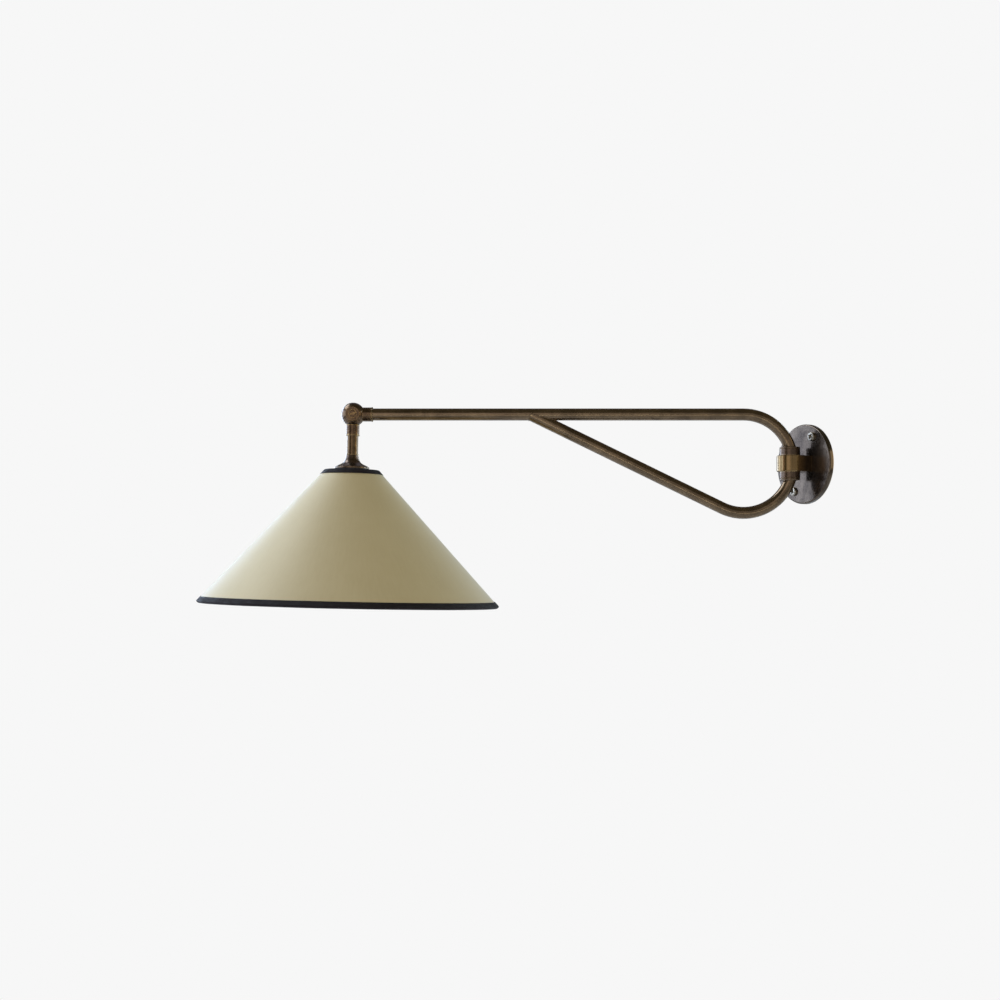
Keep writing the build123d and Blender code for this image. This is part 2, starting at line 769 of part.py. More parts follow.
with BuildPart() as lamp_glass:
    for wall, mode in ((0, Mode.ADD), (glass_wall, Mode.SUBTRACT)):
        outer = globe_radius - wall
        with BuildSketch(head_side):
            with BuildLine():
                neck = Line((glass_neck - wall, glass_top - wall), (glass_neck - wall, neck_end))
                globe = CenterArc((0, globe_centre), outer, globe_join, -90 - globe_join)
                Spline(neck @ 1, globe @ 0, tangents=(neck % 1, globe % 0))
                Polyline(globe @ 1, (0, glass_top - wall), neck @ 0)
            make_face()
        revolve(axis=stem_axis, mode=mode)
keep(lamp_glass, "lamp_glass")

mount_top = glass_top - glass_wall - 0.5
mount_pinch = -112.0
lead_radius = 0.3
lead_place = 1.2
filament_radius = 0.5
filament_half = 11.0
filament_level = -133.0

with BuildPart() as lamp_mount:
    with BuildSketch(head_side):
        with BuildLine():
            Spline((4.6, mount_top), (2.6, -98.0), (2.2, mount_pinch))
            Polyline((2.2, mount_pinch), (0, mount_pinch), (0, mount_top), (4.6, mount_top))
        make_face()
    revolve(axis=stem_axis)
keep(lamp_mount, "lamp_mount")

with BuildPart() as lamp_leads:
    for side in (-1, 1):
        with BuildLine(head_side) as lead_path:
            Spline(
                (side * lead_place, mount_pinch - seat_gap),
                (side * filament_half * 0.55, (mount_pinch + filament_level) / 2),
                (side * filament_half, filament_level + filament_radius + seat_gap),
            )
        with BuildSketch(Plane(origin=lead_path.wire() @ 0, z_dir=lead_path.wire() % 0)):
            Circle(lead_radius)
        sweep(path=lead_path.wire())
keep(lamp_leads, "lamp_leads")

with BuildPart() as lamp_filament:
    with BuildSketch(Plane(origin=head_side.from_local_coords(Vector(-filament_half - 1, filament_level, 0)),
                           x_dir=far_side, z_dir=head_side.x_dir)):
        Circle(filament_radius)
    extrude(amount=2 * (filament_half + 1))
keep(lamp_filament, "lamp_filament")

# ---- shade ring nut and spider ---------------------------------------------------------------------------------
spider_radius = 18.0
spider_bore = 14.4
spider_thickness = 1.2
spider_top = holder_top - seat_gap
nut_flange = 19.0
nut_barrel = 16.5
nut_top = spider_top - spider_thickness - seat_gap
nut_flange_height = 2.4
nut_length = 8.0

with BuildPart() as shade_ring_nut:
    with BuildSketch(head_side):
        with BuildLine():
            Polyline(
                (holder_radius + fit_gap, nut_top),
                (nut_flange, nut_top),
                (nut_flange, nut_top - nut_flange_height),
                (nut_barrel, nut_top - nut_flange_height),
                (nut_barrel, nut_top - nut_length),
                (holder_radius + fit_gap, nut_top - nut_length),
                close=True,
            )
        make_face()
    revolve(axis=stem_axis)
keep(shade_ring_nut, "shade_ring_nut")

slope_run = sin(radians(shade_slope))
slope_drop = cos(radians(shade_slope))
card_top_radius = shade_radius - (shade_top - shade_bottom) * tan(radians(shade_slope))
card_length = (shade_top - shade_bottom) / slope_drop


def on_slope(along, off):
    """Radius and height of a point this far down the card's outside and this far off it."""
    return (
        card_top_radius + along * slope_run + off * slope_drop,
        shade_top - along * slope_drop + off * slope_run,
    )


wire_clear = 0.05
top_ring_at = on_slope(top_wire + wire_clear, -card - top_wire - wire_clear)
bottom_ring_at = on_slope(card_length - bottom_wire - wire_clear, -card - bottom_wire - wire_clear)
spoke_radius = 1.1
spoke_count = 3
spoke_first = -90.0         # the first spoke is on the far side
spoke_foot = (spider_radius - spoke_radius - 0.4, spider_top - spider_thickness)
spoke_fall = degrees(acos((top_ring_at[0] - spoke_foot[0]) / sqrt(
    (top_ring_at[0] - spoke_foot[0]) ** 2 + (top_ring_at[1] - spoke_foot[1]) ** 2
)))
spoke_length = (top_ring_at[0] - spoke_foot[0]) / cos(radians(spoke_fall))


def spoke_plane(turn):
    """Plane across the foot of a spoke, facing along it, at this turn round the head's axis."""
    radial = head_plan.x_dir * cos(radians(turn)) + head_plan.y_dir * sin(radians(turn))
    axis = head_plan.z_dir
    foot = knuckle_point + radial * spoke_foot[0] + axis * spoke_foot[1]
    return Plane(origin=foot, z_dir=radial * cos(radians(spoke_fall)) - axis * sin(radians(spoke_fall)))


spoke_planes = [spoke_plane(spoke_first + i * 360 / spoke_count) for i in range(spoke_count)]

with BuildPart() as shade_spider:
    with BuildSketch(head_plan.offset(spider_top - spider_thickness)):
        Circle(spider_radius)
        Circle(spider_bore, mode=Mode.SUBTRACT)
    extrude(amount=spider_thickness)
    with BuildSketch(head_side):
        with Locations(top_ring_at):
            Circle(top_wire)
    revolve(axis=stem_axis)
    with BuildSketch(*spoke_planes):
        Circle(spoke_radius)
    extrude(amount=spoke_length)
    with BuildSketch(down_stem.offset(-nut_top)):
        Circle(nut_flange + 0.2)
    extrude(amount=nut_length, mode=Mode.SUBTRACT)
keep(shade_spider, "shade_spider")

with BuildPart() as bottom_ring:
    with BuildSketch(head_side):
        with Locations(bottom_ring_at):
            Circle(bottom_wire)
    revolve(axis=stem_axis)
keep(bottom_ring, "bottom_ring")

# ---- shade cone and its two fabric bindings --------------------------------------------------------------------
with BuildPart() as shade_cone:
    with BuildSketch(head_side):
        with BuildLine():
            Polyline(
                on_slope(0, 0),
                on_slope(card_length, 0),
                on_slope(card_length, -card),
                on_slope(0, -card),
                close=True,
            )
        make_face()
    revolve(axis=stem_axis)
keep(shade_cone, "shade_cone")

hem_round = 0.55
spoke_slot = 0.15
top_inside = card + 2 * (top_wire + wire_clear)
bottom_inside = card + 2 * (bottom_wire + wire_clear)
top_wrap = 2 * (top_wire + wire_clear)
bottom_wrap = 2 * (bottom_wire + wire_clear)

with BuildPart() as top_trim:
    with BuildSketch(head_side):
        with BuildLine():
            Polyline(
                on_slope(top_binding, fit_gap),
                on_slope(top_binding, tape),
                on_slope(-tape, tape),
                on_slope(-tape, -top_inside - tape),
                on_slope(top_wrap + tape, -top_inside - tape),
                on_slope(top_wrap + tape, -card - fit_gap),
                on_slope(top_wrap, -card - fit_gap),
                on_slope(top_wrap, -top_inside),
                on_slope(-fit_gap, -top_inside),
                on_slope(-fit_gap, fit_gap),
                close=True,
            )
        face = make_face()
        fillet(face.vertices().sort_by_distance(
            head_side.from_local_coords(Vector(*on_slope(-tape, tape), 0)))[0], hem_round)
    revolve(axis=stem_axis)
    with BuildSketch(*spoke_planes):
        Circle(spoke_radius + spoke_slot)
    extrude(amount=spoke_length, mode=Mode.SUBTRACT)
keep(top_trim, "top_trim")

with BuildPart() as bottom_trim:
    with BuildSketch(head_side):
        with BuildLine():
            Polyline(
                on_slope(card_length - bottom_binding, fit_gap),
                on_slope(card_length - bottom_binding, tape),
                on_slope(card_length + tape, tape),
                on_slope(card_length + tape, -bottom_inside - tape),
                on_slope(card_length - bottom_wrap - tape, -bottom_inside - tape),
                on_slope(card_length - bottom_wrap - tape, -card - fit_gap),
                on_slope(card_length - bottom_wrap, -card - fit_gap),
                on_slope(card_length - bottom_wrap, -bottom_inside),
                on_slope(card_length + fit_gap, -bottom_inside),
                on_slope(card_length + fit_gap, fit_gap),
                close=True,
            )
        make_face()
    revolve(axis=stem_axis)
keep(bottom_trim, "bottom_trim")

for piece in pieces:
    export_step(piece, f"parts/{piece.label}.step")
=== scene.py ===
"""Looks of a swing arm wall sconce: aged brass tube and turnings, a pale card cone and black cloth bindings.

Metres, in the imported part's frame: the wall is the plane y = 0, the light stands on its -y side, z is up.
"""

from math import cos, pi, radians, sin, sqrt, tan

import bpy
import numpy as np
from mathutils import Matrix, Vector


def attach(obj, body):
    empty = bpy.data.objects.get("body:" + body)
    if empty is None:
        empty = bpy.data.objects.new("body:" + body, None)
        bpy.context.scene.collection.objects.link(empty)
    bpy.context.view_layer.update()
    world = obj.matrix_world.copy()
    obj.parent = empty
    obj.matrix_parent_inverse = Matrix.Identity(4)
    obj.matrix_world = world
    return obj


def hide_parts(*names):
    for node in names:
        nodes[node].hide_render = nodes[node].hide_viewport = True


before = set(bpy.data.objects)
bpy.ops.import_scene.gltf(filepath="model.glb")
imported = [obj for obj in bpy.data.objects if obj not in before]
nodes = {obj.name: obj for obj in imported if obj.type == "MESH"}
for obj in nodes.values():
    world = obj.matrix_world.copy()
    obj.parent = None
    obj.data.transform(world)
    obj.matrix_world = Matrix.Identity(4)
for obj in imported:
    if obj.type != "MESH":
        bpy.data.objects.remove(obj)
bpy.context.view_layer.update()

# ---- the part's own sizes ----------------------------------------------------------------------------------
hinge = np.array([0.0, -0.022, 0.0])
arm_out = np.array([-sin(radians(30)), -cos(radians(30)), 0.0])
up = np.array([0.0, 0.0, 1.0])
far_side = np.cross(arm_out, up)
tube_radius = 0.006
loop_radius = 0.0492
collar_end = 0.0165
loop_centre = sqrt(loop_radius**2 - collar_end**2)
brace_slope = radians(26)
knuckle = hinge + arm_out * 0.4366 + up * loop_radius
lean = radians(1.3)
head_up = up * cos(lean) - arm_out * sin(lean)
head_out = arm_out * cos(lean) + up * sin(lean)
head_near = -far_side

slope = radians(42.7)
card = 0.0008
shade_top = -0.0557
shade_bottom = -0.1890
shade_radius = 0.1499
card_top_radius = shade_radius - (shade_top - shade_bottom) * tan(slope)
card_length = (shade_top - shade_bottom) / cos(slope)


# ---- surfaces ----------------------------------------------------------------------------------------------
def surface(name, points, wrap=(True, True), uv=None):
    """A grid of points, (rows, columns, 3), made a mesh of quads; a wrapped direction joins end to start.

    uv holds one pair per grid corner, with one row or column more in a wrapped direction.
    """
    rows, columns = points.shape[:2]
    r = np.arange(rows if wrap[0] else rows - 1)
    c = np.arange(columns if wrap[1] else columns - 1)
    r, c = np.meshgrid(r, c, indexing="ij")
    r1, c1 = r + 1, c + 1
    quads = np.stack(
        [
            r * columns + c,
            (r1 % rows) * columns + c,
            (r1 % rows) * columns + c1 % columns,
            r * columns + c1 % columns,
        ],
        axis=-1,
    ).reshape(-1, 4)
    mesh = bpy.data.meshes.new(name)
    mesh.vertices.add(rows * columns)
    mesh.vertices.foreach_set("co", points.astype(np.float32).ravel())
    mesh.loops.add(quads.size)
    mesh.loops.foreach_set("vertex_index", quads.astype(np.int32).ravel())
    mesh.polygons.add(len(quads))
    mesh.polygons.foreach_set("loop_start", np.arange(0, quads.size, 4, dtype=np.int32))
    mesh.polygons.foreach_set("use_smooth", np.ones(len(quads), dtype=bool))
    mesh.update(calc_edges=True)
    if uv is not None:
        layer = mesh.uv_layers.new(name="surface")
        corners = np.stack([uv[r, c], uv[r1, c], uv[r1, c1], uv[r, c1]], axis=2)
        layer.data.foreach_set("uv", corners.astype(np.float32).ravel())
    mesh.validate()
    obj = bpy.data.objects.new(name, mesh)
    bpy.context.scene.collection.objects.link(obj)
    return obj


def on_slope(along, off):
    """Radius and height of points this far down the card's outside and this far off it."""
    return (
        card_top_radius + along * sin(slope) + off * cos(slope),
        shade_top - along * cos(slope) + off * sin(slope),
    )


def round_head(radius, height, turn):
    """Points at this radius and height, at these turns round the head's axis."""
    flat = np.cos(turn)[..., None] * head_out + np.sin(turn)[..., None] * head_near
    return knuckle + radius[..., None] * flat + height[..., None] * head_up


def ripple(turn, waves, seed):
    """A smooth wave round a circle: the mean of whole-numbered sines with random heights and starts."""
    pick = np.random.default_rng(seed)
    total = np.zeros_like(turn)
    for n in waves:
        total = total + pick.uniform(0.5, 1.0) * np.sin(n * turn + pick.uniform(0, 2 * pi)) / len(waves)
    return total


def round_corners(corners, radius, steps=6):
    """A closed outline with each corner swapped for a parabola between points this far along its sides."""
    line = np.asarray(corners, float)
    before, after = np.roll(line, 1, axis=0) - line, np.roll(line, -1, axis=0) - line
    reach = []
    for side in (before, after):
        length = np.linalg.norm(side, axis=1)[:, None]
        reach.append(line + side / length * np.minimum(radius, length * 0.45))
    t = np.linspace(0, 1, steps)[None, :, None]
    curve = reach[0][:, None] * (1 - t) ** 2 + 2 * line[:, None] * t * (1 - t) + reach[1][:, None] * t**2
    return curve.reshape(-1, 2)


def even_loop(line, count):
    """The closed outline resampled at even distances along itself."""
    closed = np.vstack([line, line[:1]])
    run = np.concatenate([[0], np.cumsum(np.linalg.norm(np.diff(closed, axis=0), axis=1))])
    at = np.linspace(0, run[-1], count, endpoint=False)
    return np.stack([np.interp(at, run, closed[:, i]) for i in (0, 1)], axis=1), run[-1]


def bead(name, path, radius, sides=16):
    """A round bead carried along a closed path: a circle square to the path's direction at each point."""
    ahead = np.roll(path, -1, axis=0) - np.roll(path, 1, axis=0)
    ahead /= np.linalg.norm(ahead, axis=1)[:, None]
    middle = path.mean(axis=0)
    out = path - middle
    out -= (out * ahead).sum(axis=1)[:, None] * ahead
    out /= np.linalg.norm(out, axis=1)[:, None]
    side = np.cross(ahead, out)
    turn = np.linspace(0, 2 * pi, sides, endpoint=False)
    ring = out[:, None] * np.cos(turn)[None, :, None] + side[:, None] * np.sin(turn)[None, :, None]
    return surface(name, path[:, None] + radius * ring)


# ---- node groups -------------------------------------------------------------------------------------------
def group(name, inputs, outputs):
    """An empty node group; inputs are (name, kind, default) and outputs are (name, kind)."""
    tree = bpy.data.node_groups.new(name, "ShaderNodeTree")
    for label, kind, value in inputs:
        socket = tree.interface.new_socket(label, in_out="INPUT", socket_type="NodeSocket" + kind)
        socket.default_value = value
    for label, kind in outputs:
        tree.interface.new_socket(label, in_out="OUTPUT", socket_type="NodeSocket" + kind)
    return tree, tree.nodes.new("NodeGroupInput"), tree.nodes.new("NodeGroupOutput")


def node(tree, kind, links=(), **values):
    """A node of this kind. links are (input, source socket) pairs; values are properties or input values."""
    made = tree.nodes.new("ShaderNode" + kind)
    for key, value in values.items():
        if hasattr(made, key):
            setattr(made, key, value)
        else:
            made.inputs[key.replace("_", " ")].default_value = value
    for key, source in links:
        tree.links.new(source, made.inputs[key])
    return made


def maths(tree, operation, a, b=None):
    """A Math node on sockets or numbers."""
    made = tree.nodes.new("ShaderNodeMath")
    made.operation = operation
    for i, value in enumerate((a, b)):
        if value is None:
            continue
        if isinstance(value, (int, float)):
            made.inputs[i].default_value = value
        else:
            tree.links.new(value, made.inputs[i])
    return made.outputs[0]


def remap(tree, value, low, high, to_low=0.0, to_high=1.0):
    """Value mapped from one range to another, held at its ends."""
    made = tree.nodes.new("ShaderNodeMapRange")
    tree.links.new(value, made.inputs["Value"])
    made.inputs["From Min"].default_value = low
    made.inputs["From Max"].default_value = high
    made.inputs["To Min"].default_value = to_low
    made.inputs["To Max"].default_value = to_high
    return made.outputs["Result"]


def mix(tree, amount, a, b):
    """A colour mix; a and b are colours or sockets."""
    made = tree.nodes.new("ShaderNodeMix")
    made.data_type = "RGBA"
    for key, value in ((0, amount), (6, a), (7, b)):
        if isinstance(value, (int, float)):
            made.inputs[key].default_value = value
        elif isinstance(value, tuple):
            made.inputs[key].default_value = (*value, 1.0)
        else:
            tree.links.new(value, made.inputs[key])
    return made.outputs[2]


def make_edge_rub():
    """Mask of rubbed edges: how far a rounded normal turns from the true one, broken up by noise."""
    tree, inward, out = group(
        "edge_rub",
        [("Radius", "Float", 0.0006), ("Break", "Float", 0.4)],
        [("Mask", "Float")],
    )
    where = node(tree, "TexCoord")
    geometry = node(tree, "NewGeometry")
    rounded = node(tree, "Bevel", [("Radius", inward.outputs["Radius"])], samples=6)
    turn = node(tree, "VectorMath", operation="DOT_PRODUCT")
    tree.links.new(rounded.outputs[0], turn.inputs[0])
    tree.links.new(geometry.outputs["Normal"], turn.inputs[1])
    edge = remap(tree, turn.outputs["Value"], 0.995, 0.86)
    noise = node(tree, "TexNoise", [("Vector", where.outputs["Object"])], Scale=420.0, Detail=4.0)
    broken = remap(tree, noise.outputs["Fac"], 0.35, 0.62)
    kept = maths(tree, "SUBTRACT", 1.0, maths(tree, "MULTIPLY", inward.outputs["Break"], broken))
    tree.links.new(maths(tree, "MULTIPLY", edge, kept), out.inputs["Mask"])
    return tree


def make_patina():
    """Aged brass: cloudy dark film over brown metal, fine streaks along the vector's x, small dark specks."""
    tree, inward, out = group(
        "patina",
        [
            ("Vector", "Vector", (0, 0, 0)),
            ("Dark", "Color", (0.05, 0.037, 0.02, 1)),
            ("Brown", "Color", (0.13, 0.093, 0.05, 1)),
            ("Cloud", "Float", 60.0),
            ("Streak", "Float", 0.4),
        ],
        [("Colour", "Color"), ("Roughness", "Float"), ("Height", "Float")],
    )
    cloud = node(
        tree, "TexNoise", [("Vector", inward.outputs["Vector"]), ("Scale", inward.outputs["Cloud"])],
        Detail=6.0, Roughness=0.62, Distortion=0.6,
    )
    stretch = node(tree, "Mapping", [("Vector", inward.outputs["Vector"])], Scale=(0.03, 1.0, 1.0))
    streak = node(tree, "TexNoise", [("Vector", stretch.outputs[0])], Scale=1500.0, Detail=3.0, Roughness=0.7)
    speck = node(tree, "TexNoise", [("Vector", inward.outputs["Vector"])], Scale=900.0, Detail=2.0)
    cloudy = remap(tree, cloud.outputs["Fac"], 0.36, 0.66)
    lined = maths(tree, "MULTIPLY", remap(tree, streak.outputs["Fac"], 0.38, 0.66), inward.outputs["Streak"])
    blend = maths(tree, "ADD", maths(tree, "MULTIPLY", cloudy, 0.7), lined)
    colour = mix(tree, blend, inward.outputs["Dark"], inward.outputs["Brown"])
    spots = remap(tree, speck.outputs["Fac"], 0.66, 0.74, 0.0, 0.5)
    tree.links.new(mix(tree, spots, colour, (0.018, 0.013, 0.008)), out.inputs["Colour"])
    tree.links.new(remap(tree, blend, 0.0, 1.0, 0.3, 0.46), out.inputs["Roughness"])
    height = maths(tree, "ADD", maths(tree, "MULTIPLY", streak.outputs["Fac"], 0.5), speck.outputs["Fac"])
    tree.links.new(height, out.inputs["Height"])
    return tree


def make_weave():
    """Woven threads from a pair of surface distances: two crossing sets of ribs, over and under in turn."""
    tree, inward, out = group(
        "weave",
        [("Vector", "Vector", (0, 0, 0)), ("Threads", "Float", 1600.0)],
        [("Height", "Float"), ("Shade", "Float")],
    )
    turned = node(tree, "Mapping", [("Vector", inward.outputs["Vector"])], Rotation=(0, 0, radians(45)))
    parts = node(tree, "SeparateXYZ", [("Vector", turned.outputs[0])])
    warp = maths(tree, "MULTIPLY", parts.outputs[0], inward.outputs["Threads"])
    weft = maths(tree, "MULTIPLY", parts.outputs[1], inward.outputs["Threads"])
    across = maths(tree, "SINE", maths(tree, "MULTIPLY", warp, 2 * pi))
    along = maths(tree, "SINE", maths(tree, "MULTIPLY", weft, 2 * pi))
    over = remap(tree, maths(tree, "MULTIPLY", across, along), -0.8, 0.8)
    fuzz = node(tree, "TexNoise", [("Vector", inward.outputs["Vector"])], Scale=700.0, Detail=4.0)
    height = maths(tree, "ADD", over, maths(tree, "MULTIPLY", fuzz.outputs["Fac"], 0.7))
    tree.links.new(height, out.inputs["Height"])
    tree.links.new(remap(tree, height, 0.2, 1.5), out.inputs["Shade"])
    return tree


edge_rub = make_edge_rub()
patina = make_patina()
weave = make_weave()


# ---- materials ---------------------------------------------------------------------------------------------
def material(name, **sockets):
    """A material with one Principled shader and these socket values."""
    made = bpy.data.materials.new(name)
    made.use_nodes = True
    shader = made.node_tree.nodes["Principled BSDF"]
    for key, value in sockets.items():
        shader.inputs[key.replace("_", " ")].default_value = value
    return made, made.node_tree, shader


def placed(tree, source, links=(), **values):
    """A group placed in a material, with its own values."""
    made = tree.nodes.new("ShaderNodeGroup")
    made.node_tree = source
    for key, value in values.items():
        made.inputs[key.replace("_", " ")].default_value = value
    for key, socket in links:
        tree.links.new(socket, made.inputs[key])
    return made


def bump(tree, shader, height, strength, distance):
    """A Bump node from this height into the shader's normal."""
    made = node(tree, "Bump", [("Height", height)], Strength=strength, Distance=distance)
    tree.links.new(made.outputs[0], shader.inputs["Normal"])


def aged_brass(name, dark, brown, bright, rub, cloud, streak, shine, turn=(0, 0, 0), edge=0.0006, painted_front_highlight=None):
    """Brass under a brown-black finish, rubbed bright on its edges; if a front range in y is given, painted
    lighter towards -y, a painted highlight on the front away from the wall.
    """
    made, tree, shader = material(name, Metallic=0.88)
    where = node(tree, "TexCoord")
    turned = node(tree, "Mapping", [("Vector", where.outputs["Object"])], Rotation=turn)
    film = placed(tree, patina, [("Vector", turned.outputs[0])], Dark=(*dark, 1), Brown=(*brown, 1),
                  Cloud=cloud, Streak=streak)
    rubbed = placed(tree, edge_rub, Radius=edge, Break=0.45)
    amount = maths(tree, "MULTIPLY", rubbed.outputs["Mask"], rub)
    # Painted highlight: the colour lightens towards the part's front, away from the wall.
    if painted_front_highlight:
        depth = node(tree, "SeparateXYZ", [("Vector", where.outputs["Object"])])
        amount = maths(tree, "MAXIMUM", amount, remap(tree, depth.outputs["Y"], *painted_front_highlight, 0.0, 0.32))
    tree.links.new(mix(tree, amount, film.outputs["Colour"], bright), shader.inputs["Base Color"])
    tree.links.new(remap(tree, film.outputs["Roughness"], 0.3, 0.46, *shine), shader.inputs["Roughness"])
    bump(tree, shader, film.outputs["Height"], 0.12, 0.0001)
    return made


along_arm = (0, 0, radians(-60))
upright = (0, radians(90), 0)
# Depths in y over which the lug is painted lighter towards its front: a painted highlight.
lug_front_highlight = (-0.012, -0.02)
tube_brass = aged_brass(
    "tube_brass", (0.12, 0.085, 0.055), (0.245, 0.172, 0.107), (0.45, 0.33, 0.18),
    rub=0.5, cloud=55.0, streak=0.5, shine=(0.13, 0.25), turn=along_arm,
)
turned_brass = aged_brass(
    "turned_brass", (0.13, 0.088, 0.048), (0.33, 0.235, 0.125), (0.66, 0.49, 0.25),
    rub=0.7, cloud=160.0, streak=0.25, shine=(0.1, 0.22), turn=upright,
)
# The lug: darker than the turned brass, as painted shade, with a painted highlight on its front.
lug_brass_painted_shade = aged_brass(
    "lug_brass_painted_shade", (0.05, 0.036, 0.026), (0.12, 0.085, 0.05), (0.6, 0.39, 0.16),
    rub=0.7, cloud=160.0, streak=0.25, shine=(0.1, 0.22), turn=upright, painted_front_highlight=lug_front_highlight,
)
collar_brass = aged_brass(
    "collar_brass", (0.08, 0.055, 0.04), (0.17, 0.12, 0.085), (0.55, 0.42, 0.24),
    rub=0.8, cloud=160.0, streak=0.25, shine=(0.2, 0.32), turn=upright,
)
plate_brass = aged_brass(
    "plate_brass", (0.058, 0.044, 0.035), (0.17, 0.132, 0.1), (0.5, 0.36, 0.2),
    rub=1.0, cloud=45.0, streak=0.15, shine=(0.13, 0.23), edge=0.0014,
)
knuckle_brass = aged_brass(
    "knuckle_brass", (0.07, 0.043, 0.028), (0.2, 0.128, 0.072), (0.8, 0.54, 0.22),
    rub=0.8, cloud=220.0, streak=0.2, shine=(0.2, 0.34), edge=0.0007,
)
stem_brass = aged_brass(
    "stem_brass", (0.075, 0.048, 0.028), (0.2, 0.133, 0.07), (0.5, 0.35, 0.17),
    rub=0.5, cloud=130.0, streak=0.4, shine=(0.12, 0.24), turn=upright,
)


def plated_steel():
    """Nickel-plated steel with fine turning marks and a little tarnish."""
    made, tree, shader = material("plated_steel", Metallic=1.0)
    where = node(tree, "TexCoord")
    stretch = node(tree, "Mapping", [("Vector", where.outputs["Object"])], Scale=(1, 0.2, 1))
    marks = node(tree, "TexNoise", [("Vector", stretch.outputs[0])], Scale=2200.0, Detail=3.0)
    tarnish = node(tree, "TexNoise", [("Vector", where.outputs["Object"])], Scale=500.0, Detail=4.0)
    stain = remap(tree, tarnish.outputs["Fac"], 0.42, 0.68)
    tree.links.new(mix(tree, stain, (0.44, 0.4, 0.33), (0.2, 0.17, 0.13)), shader.inputs["Base Color"])
    tree.links.new(remap(tree, tarnish.outputs["Fac"], 0.3, 0.7, 0.26, 0.42), shader.inputs["Roughness"])
    bump(tree, shader, marks.outputs["Fac"], 0.15, 0.00008)
    return made


def bright_brass():
    """Clean stamped brass, slightly dulled."""
    made, tree, shader = material("bright_brass", Metallic=1.0)
    where = node(tree, "TexCoord")
    film = placed(tree, patina, [("Vector", where.outputs["Object"])], Dark=(0.6, 0.42, 0.2, 1),
                  Brown=(0.85, 0.66, 0.36, 1), Cloud=260.0, Streak=0.2)
    tree.links.new(film.outputs["Colour"], shader.inputs["Base Color"])
    tree.links.new(film.outputs["Roughness"], shader.inputs["Roughness"])
    bump(tree, shader, film.outputs["Height"], 0.1, 0.0001)
    return made


def moulded(name, low, high, rough, grain=900.0, depth=0.00006):
    """Moulded plastic, paint or ceramic: faint mottling, a fine grain and a slightly uneven gloss."""
    made, tree, shader = material(name)
    where = node(tree, "TexCoord")
    cloud = node(tree, "TexNoise", [("Vector", where.outputs["Object"])], Scale=90.0, Detail=4.0)
    fine = node(tree, "TexNoise", [("Vector", where.outputs["Object"])], Scale=grain, Detail=3.0)
    rubbed = placed(tree, edge_rub, Radius=0.0004, Break=0.6)
    base = mix(tree, remap(tree, cloud.outputs["Fac"], 0.35, 0.65), low, high)
    lighter = tuple(min(1.0, v * 1.35 + 0.02) for v in high)
    tree.links.new(mix(tree, maths(tree, "MULTIPLY", rubbed.outputs["Mask"], 0.5), base, lighter),
                   shader.inputs["Base Color"])
    tree.links.new(remap(tree, cloud.outputs["Fac"], 0.3, 0.7, rough - 0.06, rough + 0.08),
                   shader.inputs["Roughness"])
    bump(tree, shader, fine.outputs["Fac"], 0.25, depth)
    return made


def card_outside():
    """Pale laminated card: soft mottling, long faint fibres down the slope, a fine tooth."""
    made, tree, shader = material("card_outside", Sheen_Weight=0.6, Sheen_Roughness=0.3)
    where = node(tree, "TexCoord")
    cloud = node(
        tree, "TexNoise", [("Vector", where.outputs["Object"])], Scale=14.0, Detail=5.0, Roughness=0.6,
    )
    fibre_map = node(tree, "Mapping", [("Vector", where.outputs["UV"])], Scale=(1.0, 0.12, 1.0))
    fibre = node(tree, "TexNoise", [("Vector", fibre_map.outputs[0])], Scale=420.0, Detail=5.0, Roughness=0.7)
    tooth = node(tree, "TexNoise", [("Vector", where.outputs["UV"])], Scale=1500.0, Detail=2.0)
    mottle = remap(tree, cloud.outputs["Fac"], 0.3, 0.7)
    base = mix(tree, mottle, (0.73, 0.61, 0.345), (0.78, 0.66, 0.385))
    tinted = mix(tree, remap(tree, fibre.outputs["Fac"], 0.35, 0.7, 0.0, 0.35), base, (0.82, 0.71, 0.45))
    tree.links.new(tinted, shader.inputs["Base Color"])
    tree.links.new(remap(tree, fibre.outputs["Fac"], 0.3, 0.7, 0.5, 0.62), shader.inputs["Roughness"])
    height = maths(tree, "ADD", maths(tree, "MULTIPLY", fibre.outputs["Fac"], 1.5), tooth.outputs["Fac"])
    bump(tree, shader, height, 0.25, 0.00012)
    return made


def card_inside():
    """White plastic lining of the card: smooth, satin, a little uneven."""
    made, tree, shader = material("card_inside")
    where = node(tree, "TexCoord")
    cloud = node(tree, "TexNoise", [("Vector", where.outputs["Object"])], Scale=30.0, Detail=4.0)
    fine = node(tree, "TexNoise", [("Vector", where.outputs["UV"])], Scale=900.0, Detail=2.0)
    base = mix(tree, remap(tree, cloud.outputs["Fac"], 0.3, 0.7), (0.78, 0.76, 0.7), (0.86, 0.84, 0.79))
    tree.links.new(base, shader.inputs["Base Color"])
    tree.links.new(remap(tree, cloud.outputs["Fac"], 0.3, 0.7, 0.4, 0.52), shader.inputs["Roughness"])
    bump(tree, shader, fine.outputs["Fac"], 0.12, 0.00008)
    return made


def bound_tape():
    """Black cotton tape, woven on the bias, a little dusty and worn paler where it stands out."""
    made, tree, shader = material("bound_tape", Specular_IOR_Level=0.3)
    where = node(tree, "TexCoord")
    cloth = placed(tree, weave, [("Vector", where.outputs["UV"])], Threads=1500.0)
    cloud = node(tree, "TexNoise", [("Vector", where.outputs["Object"])], Scale=120.0, Detail=4.0)
    base = mix(tree, cloth.outputs["Shade"], (0.006, 0.0035, 0.0045), (0.018, 0.012, 0.014))
    dusty = mix(tree, remap(tree, cloud.outputs["Fac"], 0.45, 0.75, 0.0, 0.4), base, (0.02, 0.016, 0.019))
    tree.links.new(dusty, shader.inputs["Base Color"])
    tree.links.new(remap(tree, cloud.outputs["Fac"], 0.3, 0.7, 0.68, 0.85), shader.inputs["Roughness"])
    bump(tree, shader, cloth.outputs["Height"], 0.6, 0.0002)
    return made


